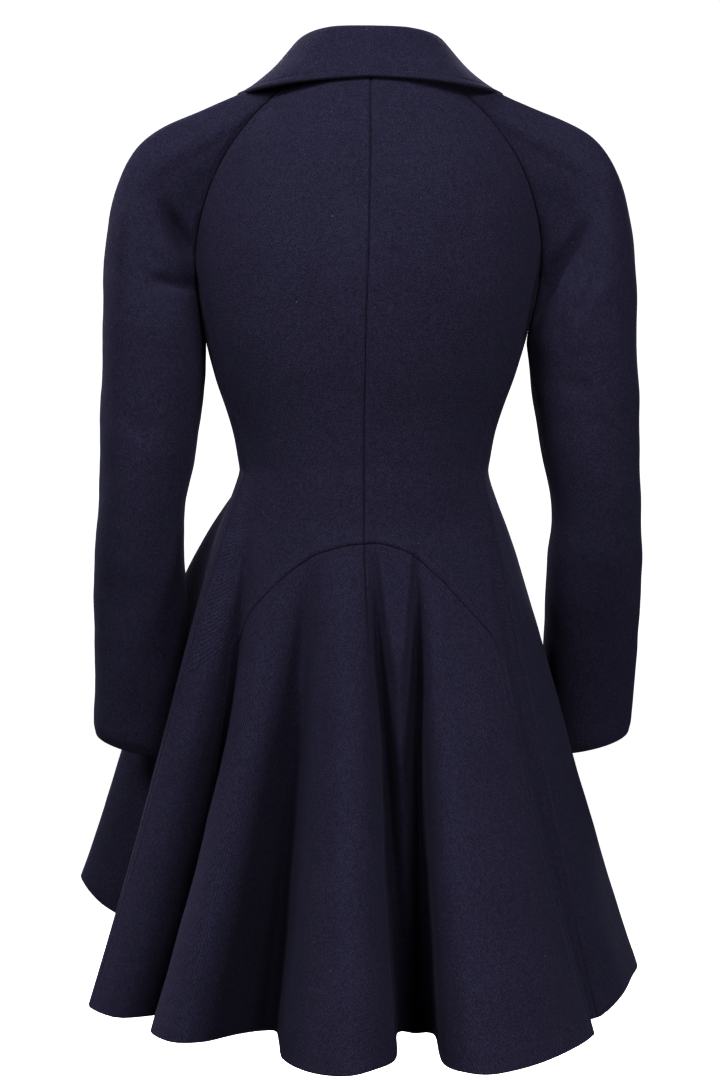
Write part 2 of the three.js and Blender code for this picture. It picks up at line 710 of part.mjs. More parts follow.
const coat = new THREE.Group();
coat.name = 'flared_coat';
[['left', 1], ['right', -1]].forEach(([side, mirror]) => {
  coat.add(piece(`back_${side}`, backPanel(mirror), WOOL, 0.95));
  coat.add(piece(`back_skirt_${side}`, backSkirt(mirror), WOOL, 0.95));
  coat.add(piece(`front_${side}`, frontPanel(mirror), WOOL, 0.95));
  coat.add(piece(`sleeve_${side}`, sleeve(mirror), WOOL, 0.95));
});
coat.add(piece('collar', collar(), WOOL, 0.95));
for (let i = 0; i < BUTTONS.count; i += 1) {
  const down = mix(BUTTONS.top, BUTTONS.bottom, i / (BUTTONS.count - 1));
  coat.add(piece(`button_${i + 1}`, button(down), BUTTON, 0.4));
}

export default coat;
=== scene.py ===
"""Flared wool coat, filled out as when worn, seen from behind.

Sizes in the tables are millimetres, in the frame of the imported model: +Z up, the back faces +Y,
the wearer's left is +X and the origin is at the nape. Meshes are made in metres.
"""
import math

import bmesh
import bpy
import numpy as np
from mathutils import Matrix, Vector


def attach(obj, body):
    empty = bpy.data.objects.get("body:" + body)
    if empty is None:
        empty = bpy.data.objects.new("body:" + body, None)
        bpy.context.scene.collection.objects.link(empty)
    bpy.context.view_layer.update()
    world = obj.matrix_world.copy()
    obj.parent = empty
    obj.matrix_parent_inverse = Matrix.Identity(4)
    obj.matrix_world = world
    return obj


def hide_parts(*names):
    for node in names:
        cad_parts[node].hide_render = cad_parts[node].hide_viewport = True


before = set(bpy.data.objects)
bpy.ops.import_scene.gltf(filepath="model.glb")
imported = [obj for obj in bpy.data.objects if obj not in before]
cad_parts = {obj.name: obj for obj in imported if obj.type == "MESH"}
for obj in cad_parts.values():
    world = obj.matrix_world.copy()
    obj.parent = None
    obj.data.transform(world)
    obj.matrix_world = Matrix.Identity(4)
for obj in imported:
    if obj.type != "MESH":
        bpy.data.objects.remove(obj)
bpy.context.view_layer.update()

MM = 0.001

# Camera and photograph
CAMERA_PLACE = (0.0057, 3.0, -0.456)
LENS = 105.26
SENSOR = 36.0
VIEW_GAMMA = 0.75
FLOOR = -1.42
FLOOR_RADIUS = 14.0

# Cloth: the collar is two layers, and its edge is rounder; the sleeves stand a little full
WALL = 2.2
COLLAR_WALL = 3.4
COLLAR_ROUND = 1.35
SLEEVE_EASE = 2.0

# Shares of the wall that a cut edge is rounded by, sideways and into the wall
EDGE_WIDE = 0.36
EDGE_DEEP = 0.92

# Sewing
SEAM_DEEP = 1.5
WELT_HIGH = 0.8
STITCH_DEEP = 0.85
STITCH_INSET = 6.6
STITCH_PITCH = 3.3
STITCH_LONG = 2.4
STITCH_WIDE = 0.62

# How the points of a raglan seam crowd towards the underarm, on the body and round the arm
RAGLAN_EASE = 1.25
ARM_EASE = 1.05

# Heights below the nape: tops of the raglan seams, underarm, waist, hem and arched seam
BACK_TOP = 1.0
FRONT_TOP = 30.0
UNDERARM = 200.0
WAIST = 388.0
BACK_HEM = 925.0
ARCH_TOP = 461.0
ARCH_END = 565.0
STRIP_TOP = 600.0

# Angles round the body: 0 is the back centre, 180 the front centre, plus is the wearer's left
ARCH_ANGLE = 60.0
SIDE_ANGLE = 70.0
OVERLAP_START = 160.0
OVERLAP_RAMP = 9.0
OVERLAP_LIFT = 4.0
FRONT_EDGE = 191.0
NECK_BACK = 48.0
NECK_FRONT = 128.0


def table(names, rows):
    """One array for each named column."""
    return dict(zip(names.split(), np.array(rows, float).T))


# Body sections
BODY = table("down half back front lean", [
    (-10, 64, 57, 30, -4), (0, 75, 61, 35, -4), (30, 103, 76, 47, -4), (60, 130, 88, 58, -4),
    (100, 152, 99, 82, -4), (150, 163, 107, 108, -3), (200, 164, 110, 121, -2),
    (250, 155.5, 107, 120, 0), (300, 142.5, 100, 111, 1), (350, 125, 90, 101, 2),
    (388, 118, 85, 96, 2),
])
HEM = {"half": 230.0, "back": 204.0, "front": 212.0}
FLARE_START = 0.1
FLARE_POWER = 1.35
FULL_HIP = 0.8
WAIST_SOFT = 0.03
FOLD_SOFT = 0.06
BOW_POWER = 0.6

# Folds at the hem: angle at the waist, place at the hem, start down the skirt, push at the hip
FOLDS = table("at x y z start hip", [
    (-180, -5, -228, -860, 0.1, 0), (-170, -44, -240, -861, 0.1, 0),
    (-162, -80, -238, -861, 0.1, 0), (-152, -114, -210, -860, 0.1, 0),
    (-144, -150, -242, -858, 0.08, 0), (-137, -176, -236, -859, 0.06, 0),
    (-127, -180, -192, -862, 0.05, 0), (-110, -190, -124, -866, 0.05, 0),
    (-101, -248, -106, -866, 0.02, 0), (-94, -264, -74, -869, 0, -4),
    (-87, -256, -36, -876, 0, -5), (-79, -243, 6, -888, 0, -5),
    (-71, -221, 44, -901, 0.03, 0), (-67, -201, 64, -905, 0.08, 0),
    (-60, -207, 120, -908, 0.14, 0), (-51, -163, 188, -919, 0.14, 0),
    (-44, -117, 224, -925, 0.14, 0), (-37, -87, 225, -924, 0.13, 0),
    (-31, -68, 190, -922, 0.12, 0), (-23, -63, 75, -915, 0.12, 0),
    (-13, -45, 70, -914, 0.34, 0), (-5, -29, 90, -911, 0.12, 0),
    (1, -26, 185, -919.5, 0.13, 0), (4, -10, 224, -921, 0.14, 0),
    (9, 17, 243, -924, 0.14, 0), (14, 50, 219, -925, 0.13, 0),
    (18, 75, 168, -922, 0.12, 0), (21, 80, 118, -915, 0.12, 0),
    (24, 84, 72, -912, 0.12, 0), (27, 95, 60, -913, 0.12, 0),
    (31, 117, 100, -910, 0.13, 0), (37, 148, 146, -910, 0.15, 0),
    (44, 177, 158, -907.5, 0.16, 0), (50, 197, 120, -904, 0.16, 0),
    (55, 184, 64, -904, 0.14, 0), (59, 173, 14, -902, 0.1, 0),
    (62, 206, 66, -899, 0.07, 0), (65, 232, 78, -898, 0.03, 4),
    (70, 259, 47, -892, 0, 7), (76, 250, 8, -886, 0, 7),
    (86, 203, -26, -878, 0, 4), (104, 196, -122, -855, 0, 20),
    (112, 264, -168, -822, 0, 32), (119, 289, -200, -797, 0, 30),
    (126, 270, -226, -812, 0, 20), (136, 198, -212, -842, 0.03, 6),
    (144, 168, -244, -850, 0.06, 0), (151, 134, -262, -853, 0.08, 0),
    (157, 106, -248, -855, 0.1, 0), (166, 62, -216, -858, 0.1, 0),
])

# Raglan seam: height, angle on the back, angle on the front
RAGLAN = table("down back front", [
    (0, 48, 128), (30, 50, 128), (60, 57.5, 122), (100, 66, 114),
    (150, 75.5, 104.5), (178, 81, 98), (193, 86, 93.5), (200, 90, 90),
])
SIDE = table("down at", [(200, 90), (260, 84), (330, 74), (388, 70), (925, 70)])
ARCH = table("at down", [
    (0, 461), (8.3, 462), (17, 467), (24.5, 475), (32, 486),
    (40, 499), (47.5, 516), (53, 533), (57.5, 549), (60, 565),
])
NECK = table("at down", [
    (0, 0), (48, 1), (90, 18), (128, 30), (160, 58), (180, 70), (195, 70),
])

# Sleeve rings: height, inner and outer edge across, middle and half depth front to back
SLEEVES = {
    1: table("down inner outer mid deep", [
        (270, 154, 249, -5, 56), (300, 155, 249, -6, 54), (340, 160, 251, -7, 51),
        (380, 166, 252, -9, 48), (420, 173.5, 253, -14, 46), (470, 175.5, 257, -24, 44),
        (520, 174, 259, -37, 42), (570, 174, 260, -49, 40), (620, 174, 262, -60, 38),
        (651, 176, 262, -67, 37),
    ]),
    -1: table("down inner outer mid deep", [
        (270, -155, -256, -5, 56), (300, -158.5, -257, -6, 54), (340, -163.5, -257.5, -7, 51),
        (380, -171, -258, -10, 48), (420, -179, -260.5, -17, 46), (470, -176.5, -263, -32, 44),
        (520, -175, -263, -55, 42), (570, -175, -262, -82, 40), (620, -176, -260.5, -106, 38),
        (651, -178, -259, -118, 37),
    ]),
}
SLEEVE_SQUARE = 0.92
CUFF_TILT = 0.28
CUFF_LEAN = 0.22

# Collar: angle, roll line and free edge of the fall
COLLAR = table("at roll_x roll_y roll_z edge_x edge_y edge_z", [
    (0, 0, 55, 22, 0, 80.5, -26.5), (25, 32, 50, 22, 51, 75, -29), (50, 55, 33, 18, 95, 61, -33),
    (75, 66, 11, 9, 121, 30, -35), (100, 68, -11, -2, 127, -16, -35),
    (125, 60, -31, -15, 117, -64, -60), (150, 43, -50, -34, 92, -98, -104),
    (170, 17, -63, -54, 66, -112, -132),
])
COLLAR_END = 170.0
COLLAR_SHIFT = -4.0

BUTTONS = {"count": 5, "top": 118.0, "bottom": 344.0, "at": 180.0, "radius": 13.0, "thick": 4.0,
           "thread": 0.38}
BUTTONHOLE = {"long": 30.0, "edge_side": 4.0, "wide": 2.0, "thread": 0.75}

# Distances from a cut edge where rows and columns of points are put, and the step between the others
FINE = np.array([0, 0.3, 0.8, 1.5, 2.4, 3.8, 5.2, 6.2, 7.0, 8.0, 10.5])
STEP = 4.2


def hermite(keys, values, at):
    """Smooth curve through the values at the keys."""
    slopes = np.empty_like(values)
    slopes[1:-1] = (values[2:] - values[:-2]) / (keys[2:] - keys[:-2])
    slopes[0] = (values[1] - values[0]) / (keys[1] - keys[0])
    slopes[-1] = (values[-1] - values[-2]) / (keys[-1] - keys[-2])
    i = np.clip(np.searchsorted(keys, at, side="right") - 1, 0, len(keys) - 2)
    span = keys[i + 1] - keys[i]
    t = np.clip((at - keys[i]) / span, 0, 1)
    t2 = t * t
    t3 = t2 * t
    first = (2 * t3 - 3 * t2 + 1) * values[i] + (t3 - 2 * t2 + t) * span * slopes[i]
    return first + (3 * t2 - 2 * t3) * values[i + 1] + (t3 - t2) * span * slopes[i + 1]


def follow(rows, key, at, name):
    return hermite(rows[key], rows[name], np.asarray(at, float))


def follow_each(rows, key, at, names):
    return [follow(rows, key, at, name) for name in names.split()]


def round_folds():
    """The fold table three times over, so that the curve has no end."""
    around = {"at": np.concatenate([FOLDS["at"] - 360, FOLDS["at"], FOLDS["at"] + 360])}
    for name in ("x", "y", "z", "start", "hip"):
        around[name] = np.tile(FOLDS[name], 3)
    return around


ROUND = round_folds()


def fold(at, name):
    return hermite(ROUND["at"], ROUND[name], (np.asarray(at, float) + 180) % 360 - 180)


def mix(a, b, t):
    return a + (b - a) * t


def smooth(t):
    t = np.clip(t, 0, 1)
    return t * t * (3 - 2 * t)


def unit(v):
    return v / np.maximum(np.linalg.norm(v, axis=-1, keepdims=True), 1e-12)


def soft_start(t, soft):
    """Grows to 1 as t does, but starts level."""
    return t * t / (t + soft) * (1 + soft)


def surface(at, down):
    """Points on the outside of the body and skirt."""
    at, down = np.broadcast_arrays(np.asarray(at, float), np.asarray(down, float))
    s = np.sin(np.radians(at))
    c = np.cos(np.radians(at))
    lean, half, back, front = follow_each(BODY, "down", np.minimum(down, WAIST), "lean half back front")
    x = lean + half * s
    y = np.where(c > 0, back, front) * c
    t = np.maximum(0, (down - WAIST) / (BACK_HEM - WAIST))
    grow = soft_start(t, WAIST_SOFT)
    grow = grow + FULL_HIP * grow * (1 - grow) ** 3
    grow_back = np.maximum(0, (t - FLARE_START) / (1 - FLARE_START)) ** FLARE_POWER
    flare = mix(grow, grow_back, smooth(c * 1.4 - 0.1))
    hem_x = HEM["half"] * s
    hem_y = np.where(c > 0, HEM["back"], HEM["front"]) * c
    start = fold(at, "start")
    folded = soft_start(np.maximum(0, (t - start) / (1 - start)), FOLD_SOFT)
    fold_x = fold(at, "x")
    fold_y = fold(at, "y")
    bow = np.sin(math.pi * np.minimum(t, 1) ** BOW_POWER) * t / (t + WAIST_SOFT)
    push = fold(at, "hip") * bow / np.hypot(fold_x, fold_y)
    x = mix(x, hem_x, flare) + (fold_x - hem_x) * folded + fold_x * push
    y = mix(y, hem_y, flare) + (fold_y - hem_y) * folded + fold_y * push
    z = np.where(down <= WAIST, -down, mix(-WAIST, fold(at, "z"), t))
    return np.stack([x, y, z], -1)


def outward(at, down):
    """Direction out of the cloth on the body."""
    du = surface(at + 0.5, down) - surface(at - 0.5, down)
    dv = surface(at, down + 1.5) - surface(at, down - 1.5)
    return unit(np.cross(du, dv))


def shift_line(at, down, distance):
    """A line on the body moved sideways along the cloth; plus is to the left of its direction."""
    base = surface(at, down)
    tangent = unit(np.gradient(base, axis=0))
    target = base + np.cross(outward(at, down), tangent) * distance
    for _ in range(5):
        here = surface(at, down)
        u = (surface(at + 0.2, down) - surface(at - 0.2, down)) * 2.5
        v = surface(at, down + 0.5) - surface(at, down - 0.5)
        want = target - here
        uu = np.sum(u * u, -1)
        uv = np.sum(u * v, -1)
        vv = np.sum(v * v, -1)
        wu = np.sum(want * u, -1)
        wv = np.sum(want * v, -1)
        det = uu * vv - uv * uv
        at = at + (wu * vv - wv * uv) / det
        down = down + (wv * uu - wu * uv) / det
    return at, down


def distance(points, line):
    """Distance of each point from a line of points."""
    near = np.full(len(points), 1e9)
    for a, b in zip(line[:-1], line[1:]):
        along = b - a
        t = np.clip((points - a) @ along / max(along @ along, 1e-9), 0, 1)
        gap = points - a - t[:, None] * along
        near = np.minimum(near, np.einsum("ij,ij->i", gap, gap))
    return np.sqrt(near)


def side_at(down):
    """Angle of the raglan and side seams on the back; the front has its own raglan."""
    return follow(SIDE, "down", down, "at")


def raglan_line(face, count=60):
    """Raglan seam from the neckline to the underarm."""
    top = BACK_TOP if face == "back" else FRONT_TOP
    down = mix(top, UNDERARM, 1 - (1 - np.linspace(0, 1, count)) ** RAGLAN_EASE)
    return follow(RAGLAN, "down", down, face), down


def edge_line(face, bottom, count):
    """Raglan seam and then side seam, down to a height."""
    at, down = raglan_line(face, count // 3)
    more = np.linspace(UNDERARM, bottom, count)[1:]
    return np.concatenate([at, side_at(more)]), np.concatenate([down, more])


def arch_line(count=50):
    at = np.linspace(0, ARCH_ANGLE, count)
    return at, follow(ARCH, "at", at, "down")


def strip_line(count=60):
    down = np.linspace(ARCH_END, BACK_HEM, count)
    return np.full(count, ARCH_ANGLE), down


def centre_line(top, bottom, count=60):
    down = np.linspace(top, bottom, count)
    return np.zeros(count), down


def spread(length, fine_end=True):
    """Places along one width in its own length, close together at the cut edges."""
    end = FINE if fine_end else FINE[:1]
    inner = max(2, int(round((length - FINE[-1] - end[-1]) / STEP)))
    return FINE, end, inner


def run_along(points):
    """Length of a path up to each of its points."""
    steps = np.linalg.norm(np.diff(points, axis=0), axis=1)
    return np.concatenate([[0], np.cumsum(steps)])


def along_each(places, own, values):
    """Rows of values read at new places, one column at a time."""
    return np.stack([np.interp(places, own, column) for column in values.T], -1)


def place_on(points, start, end, inner):
    """Shares of the length of a path at which its points are put."""
    run = run_along(points)
    length = run[-1]
    squeeze = min(1.0, length / (1.5 * (start[-1] + end[-1]) + 1e-6))
    low = start * squeeze
    high = length - end[::-1] * squeeze
    middle = np.linspace(low[-1], high[0], inner + 1)[1:-1]
    want = np.concatenate([low, middle, high])
    return np.interp(want, run, np.linspace(0, 1, len(points)))


def put(at, down, mirror, marks, guide=None, share=0):
    """One row of points of a body panel, spaced in its own length or partly as the guide is."""
    own = place_on(surface(at * mirror, down), *marks)
    places = own
    if guide is not None:
        places = mix(own, guide, share)
        places[: len(FINE)] = own[: len(FINE)]
        places[-len(FINE):] = own[-len(FINE):]
        places = np.maximum.accumulate(places)
    places = places * (len(at) - 1)
    count = np.arange(len(at))
    return np.interp(places, count, at), np.interp(places, count, down)


def woven(index, closed):
    """Quads between the rows of an index grid."""
    right = np.roll(index, -1, axis=1) if closed else index[:, 1:]
    left = index if closed else index[:, :-1]
    return np.stack([left[:-1], right[:-1], right[1:], left[1:]], -1).reshape(-1, 4)


class Cloth:
    """A sheet of points with its faces, which becomes a thin closed shell."""

    def __init__(self):
        self.points = np.zeros((0, 3))
        self.normals = np.zeros((0, 3))
        self.uv = np.zeros((0, 2))
        self.faces = []

    def add(self, points, normals, uv):
        first = len(self.points)
        shape = points.shape[:2]
        self.points = np.vstack([self.points, points.reshape(-1, 3)])
        self.normals = np.vstack([self.normals, normals.reshape(-1, 3)])
        self.uv = np.vstack([self.uv, uv.reshape(-1, 2)])
        return first + np.arange(shape[0] * shape[1]).reshape(shape)

    def weave(self, index, closed=False):
        self.faces.append(woven(index, closed))


def metric(points):
    """Cloth coordinates in metres, along the rows and down the columns."""
    across = np.linalg.norm(np.diff(points, axis=1), axis=2)
    along = np.linalg.norm(np.diff(points, axis=0), axis=2)
    u = np.concatenate([np.zeros((len(points), 1)), np.cumsum(across, axis=1)], axis=1)
    v = np.concatenate([np.zeros((1, points.shape[1])), np.cumsum(along, axis=0)], axis=0)
    return np.stack([u, -v], -1) * MM


def body_grid(cloth, laid, mirror, lift=None):
    """Points of a body panel from its rows of angles and heights."""
    at, down = np.array(laid).swapaxes(0, 1)
    points = surface(at * mirror, down)
    normals = outward(at * mirror, down)
    if lift is not None:
        points = points + normals * lift(at, mirror)[..., None]
    return cloth.add(points, normals, metric(points))


def edge_round(gap, wall):
    """How far the face drops towards the middle of the wall at a cut edge."""
    r = wall * EDGE_WIDE
    inside = np.clip(r - gap, 0, r)
    return (r - np.sqrt(np.maximum(0, r * r - inside * inside))) * EDGE_DEEP


def welt(gap):
    """Relief beside a topstitched seam: turnings below, then the row of stitches."""
    turnings = WELT_HIGH * smooth((gap - 0.3) / 1.8) * (1 - smooth((gap - 7.0) / 2.6))
    return turnings - STITCH_DEEP * np.exp(-((gap - STITCH_INSET) / 0.85) ** 2)


def plain_seam(gap):
    """Relief beside a seam that is pressed open."""
    return -SEAM_DEEP * np.exp(-(gap / 0.9) ** 2) + 0.3 * np.exp(-((gap - 4.0) / 2.4) ** 2)


def under_seam(gap):
    """Relief of the cloth that goes in under a stitched seam."""
    return -0.4 * np.exp(-(gap / 0.8) ** 2)


def ripple(points, size, height, seed):
    """Slow unevenness of the cloth."""
    rng = np.random.default_rng(seed)
    total = np.zeros(len(points))
    for _ in range(7):
        direction = rng.normal(size=3)
        direction /= np.linalg.norm(direction)
        wave = 2 * math.pi / (size * rng.uniform(0.7, 1.6))
        total += np.sin(points @ direction * wave + rng.uniform(0, 2 * math.pi))
    return total * height / 7


def crease(points, normals, rows, face, depth, wide):
    """A trough, or with minus depth a ridge, along points given across and up as seen from behind."""
    line = np.array([(x, 0.0, z) for x, z in rows], float)
    flat = points * np.array([1.0, 0.0, 1.0])
    gap = distance(flat, line)
    reach = 0.45 * np.linalg.norm(np.diff(line, axis=0), axis=1).sum()
    start = np.linalg.norm(flat - line[0], axis=1)
    end = np.linalg.norm(flat - line[-1], axis=1)
    fade = smooth(start / reach + 0.15) * smooth(end / reach + 0.05)
    facing = smooth(normals[:, 1] * face * 2.5 + 0.15)
    return -depth * np.exp(-(gap / wide) ** 2) * fade * facing


def add_object(name, data):
    made = bpy.data.objects.new(name, data)
    bpy.context.scene.collection.objects.link(made)
    return made


def new_mesh(name, verts, quads, uv=None):
    mesh = bpy.data.meshes.new(name)
    count = len(quads)
    size = quads.shape[1]
    mesh.vertices.add(len(verts))
    mesh.vertices.foreach_set("co", np.asarray(verts, np.float32).ravel())
    mesh.loops.add(count * size)
    mesh.loops.foreach_set("vertex_index", quads.astype(np.int32).ravel())
    mesh.polygons.add(count)
    mesh.polygons.foreach_set("loop_start", np.arange(count, dtype=np.int32) * size)
    mesh.polygons.foreach_set("loop_total", np.full(count, size, np.int32))
    mesh.polygons.foreach_set("use_smooth", np.ones(count, bool))
    if uv is not None:
        layer = mesh.uv_layers.new(name="cloth")
        layer.data.foreach_set("uv", uv[quads.ravel()].astype(np.float32).ravel())
    mesh.update(calc_edges=True)
    mesh.validate()
    return add_object(name, mesh)


def shell(name, cloth, outer, inner, flip):
    """Closed thin shell from the outer and inner points of a sheet."""
    faces = np.concatenate(cloth.faces)
    count = len(outer)
    if flip:
        faces = faces[:, ::-1]
    edges = np.concatenate([faces[:, [k, (k + 1) % 4]] for k in range(4)])
    forward = edges[:, 0].astype(np.int64) * count + edges[:, 1]
    backward = edges[:, 1].astype(np.int64) * count + edges[:, 0]
    free = edges[~np.isin(forward, backward)]
    sides = np.stack([free[:, 1], free[:, 0], free[:, 0] + count, free[:, 1] + count], -1)
    quads = np.concatenate([faces, faces[:, ::-1] + count, sides])
    verts = np.concatenate([outer, inner]) * MM
    return new_mesh(name, verts, quads, np.concatenate([cloth.uv, cloth.uv]))


def cloth_piece(name, cloth, slow, sewn, drop, wall, flip):
    """Finished shell: both faces follow the slow relief, the outer one the sewing as well."""
    outer = cloth.points + cloth.normals * (slow + sewn - drop)[:, None]
    inner = cloth.points + cloth.normals * (slow - wall + drop)[:, None]
    return finish_piece(shell(f"{name}_cloth", cloth, outer, inner, flip), WOOL, [name])


def stitch_row(points, normals, heights):
    """Short threads along a line on the cloth: vertices and quads."""
    line = points + normals * (heights + 0.12)[:, None]
    run = run_along(line)
    count = int((run[-1] - 6) / STITCH_PITCH)
    middles = 3 + (np.arange(count) + 0.5) * (run[-1] - 6) / max(count, 1)
    stations = np.array([-0.5, -0.36, 0.36, 0.5]) * STITCH_LONG
    thick = np.array([0.25, 1.0, 1.0, 0.25]) * STITCH_WIDE / 2
    corners = [(1, 0), (0, 0.9), (-1, 0), (0, -0.9)]
    verts = []
    for station, size in zip(stations, thick):
        place = middles + station
        here = along_each(place, run, line)
        up = unit(along_each(place, run, normals))
        side = unit(np.cross(up, along_each(place + 0.3, run, line) - here))
        for a, b in corners:
            verts.append(here + side * a * size + up * b * size * 0.8)
    verts = np.stack(verts, 1)
    ring = np.concatenate([woven(np.arange(16).reshape(4, 4), True), [(3, 2, 1, 0), (12, 13, 14, 15)]])
    quads = (np.arange(count) * 16)[:, None, None] + ring[None]
    return verts.reshape(-1, 3), quads.reshape(-1, 4)


def thread_piece(name, rows):
    """One piece from several rows of stitches or runs of thread."""
    verts, quads = zip(*rows)
    starts = np.cumsum([0] + [len(points) for points in verts])
    quads = [faces + start for faces, start in zip(quads, starts)]
    return new_mesh(name, np.concatenate(verts) * MM, np.concatenate(quads))


# Materials


def node_tree(name):
    material = bpy.data.materials.new(name)
    material.use_nodes = True
    nodes = material.node_tree.nodes
    nodes.clear()
    out = nodes.new("ShaderNodeOutputMaterial")
    shader = nodes.new("ShaderNodeBsdfPrincipled")
    material.node_tree.links.new(shader.outputs["BSDF"], out.inputs["Surface"])
    return material, shader


def give(node, values):
    """Set the inputs of a node."""
    for name, value in values.items():
        node.inputs[name].default_value = value


def add_noise(tree, source, scale, detail, rough):
    noise = tree.nodes.new("ShaderNodeTexNoise")
    give(noise, {"Scale": scale, "Detail": detail, "Roughness": rough})
    tree.links.new(source.outputs["Object"], noise.inputs["Vector"])
    return noise.outputs["Fac"]


def add_ramp(tree, value, stops):
    """Colour from a value: stops are place and colour, in order."""
    ramp = tree.nodes.new("ShaderNodeValToRGB")
    elements = ramp.color_ramp.elements
    for element, (place, colour) in zip(elements, (stops[0], stops[-1])):
        element.position = place
        element.color = colour
    for place, colour in stops[1:-1]:
        elements.new(place).color = colour
    tree.links.new(value, ramp.inputs["Fac"])
    return ramp.outputs["Color"]


def add_bump(tree, shader, height, strength, reach):
    bump = tree.nodes.new("ShaderNodeBump")
    give(bump, {"Strength": strength, "Distance": reach})
    tree.links.new(height, bump.inputs["Height"])
    tree.links.new(bump.outputs["Normal"], shader.inputs["Normal"])


def add_math(tree, kind, a, b):
    node = tree.nodes.new("ShaderNodeMath")
    node.operation = kind
    for slot, value in enumerate((a, b)):
        if isinstance(value, (int, float)):
            node.inputs[slot].default_value = value
        else:
            tree.links.new(value, node.inputs[slot])
    return node.outputs[0]


WOOL_DARK = (0.0080, 0.0073, 0.0158, 1)
WOOL_MID = (0.0170, 0.0156, 0.0316, 1)
WOOL_PALE = (0.0330, 0.0304, 0.0580, 1)
LINT = (0.16, 0.16, 0.20, 1)

# Share of each pattern in the grain of the wool
NAP_SHARE = 0.74
CLUMP_SHARE = 0.09
TWILL_SHARE = 0.12
CLOUD_SHARE = 0.05


def wool_material():
    """Brushed melton: a felted nap over a fine twill, with a few specks of pale lint."""
    material, shader = node_tree("melton_wool")
    tree = material.node_tree
    link = tree.links.new
    place = tree.nodes.new("ShaderNodeTexCoord")
    nap = add_noise(tree, place, 760, 3, 0.65)
    clump = add_noise(tree, place, 170, 2, 0.5)
    cloud = add_noise(tree, place, 14, 2, 0.5)
    twill = tree.nodes.new("ShaderNodeTexWave")
    twill.wave_type = "BANDS"
    twill.bands_direction = "DIAGONAL"
    give(twill, {"Scale": 210, "Distortion": 3.5, "Detail": 2, "Detail Scale": 2.0})
    link(place.outputs["UV"], twill.inputs["Vector"])
    grain = add_math(tree, "MULTIPLY", nap, NAP_SHARE)
    for pattern, share in ((clump, CLUMP_SHARE), (twill.outputs["Fac"], TWILL_SHARE), (cloud, CLOUD_SHARE)):
        grain = add_math(tree, "ADD", grain, add_math(tree, "MULTIPLY", pattern, share))
    colour = add_ramp(tree, grain, [(0.33, WOOL_DARK), (0.50, WOOL_MID), (0.70, WOOL_PALE)])
    specks = tree.nodes.new("ShaderNodeTexVoronoi")
    specks.inputs["Scale"].default_value = 62
    link(place.outputs["Object"], specks.inputs["Vector"])
    dot = add_math(tree, "LESS_THAN", specks.outputs["Distance"], 0.035)
    chosen = tree.nodes.new("ShaderNodeSeparateColor")
    link(specks.outputs["Color"], chosen.inputs["Color"])
    rare = add_math(tree, "GREATER_THAN", chosen.outputs["Red"], 0.90)
    lint = add_math(tree, "MULTIPLY", add_math(tree, "MULTIPLY", dot, rare), 0.55)
    blend = tree.nodes.new("ShaderNodeMix")
    blend.data_type = "RGBA"
    link(lint, blend.inputs["Factor"])
    link(colour, blend.inputs["A"])
    blend.inputs["B"].default_value = LINT
    link(blend.outputs["Result"], shader.inputs["Base Color"])
    add_bump(tree, shader, grain, 0.55, 0.0006)
    give(shader, {"Roughness": 0.95, "Specular IOR Level": 0.08, "Sheen Weight": 0.035,
                  "Sheen Roughness": 0.45, "Sheen Tint": (0.55, 0.55, 0.85, 1)})
    return material


def streaked_material(name, scale, detail, rough, dark, pale, gloss):
    """Plain material with two tones of one noise; also gives back what a bump needs."""
    material, shader = node_tree(name)
    tree = material.node_tree
    place = tree.nodes.new("ShaderNodeTexCoord")
    noise = add_noise(tree, place, scale, detail, rough)
    tree.links.new(add_ramp(tree, noise, [(0.0, dark), (1.0, pale)]), shader.inputs["Base Color"])
    shader.inputs["Roughness"].default_value = gloss
    return material, shader, noise


def thread_material():
    """Navy sewing thread with a twist."""
    material, _, _ = streaked_material("sewing_thread", 1500, 1, 0.5, (0.004, 0.004, 0.010, 1),
                                       (0.016, 0.016, 0.034, 1), 0.6)
    return material


def button_material():
    """Dark horn-like resin, faintly streaked."""
    material, shader, streak = streaked_material("dark_button", 120, 4, 0.6, (0.004, 0.004, 0.007, 1),
                                                 (0.016, 0.015, 0.024, 1), 0.38)
    add_bump(material.node_tree, shader, streak, 0.15, 0.0003)
    return material


WOOL = wool_material()
THREAD = thread_material()
RESIN = button_material()


def finish_piece(piece, material, nodes=()):
    piece.data.materials.append(material)
    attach(piece, "root")
    if nodes:
        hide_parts(*nodes)
    return piece


# Camera, floor and light


def camera():
    data = bpy.data.cameras.new("camera")
    data.sensor_fit = "VERTICAL"
    data.sensor_height = SENSOR
    data.lens = LENS
    made = add_object("camera", data)
    made.location = CAMERA_PLACE
    made.rotation_euler = (math.pi / 2, 0, math.pi)
    bpy.context.scene.camera = made


def white_stage(name, mesh, material_name, roughness, casts):
    """Pure white surface that the camera sees and that lights nothing."""
    material, shader = node_tree(material_name)
    give(shader, {"Base Color": (0.9, 0.9, 0.9, 1), "Roughness": roughness,
                  "Emission Color": (1, 1, 1, 1), "Emission Strength": 1.0})
    mesh.materials.append(material)
    made = add_object(name, mesh)
    made.visible_diffuse = False
    made.visible_glossy = False
    made.visible_shadow = casts


def floor():
    """Round white floor."""
    count = 96
    ring = [(FLOOR_RADIUS * math.cos(a), FLOOR_RADIUS * math.sin(a), FLOOR)
            for a in np.linspace(0, 2 * math.pi, count, endpoint=False)]
    mesh = bpy.data.meshes.new("floor")
    mesh.from_pydata(ring, [], [list(range(count))])
    white_stage("floor", mesh, "pale_floor", 0.9, True)


def backdrop():
    """White studio ground all round."""
    form = bmesh.new()
    bmesh.ops.create_uvsphere(form, u_segments=48, v_segments=24, radius=FLOOR_RADIUS)
    mesh = bpy.data.meshes.new("backdrop")
    form.to_mesh(mesh)
    form.free()
    white_stage("backdrop", mesh, "white_ground", 0.5, False)


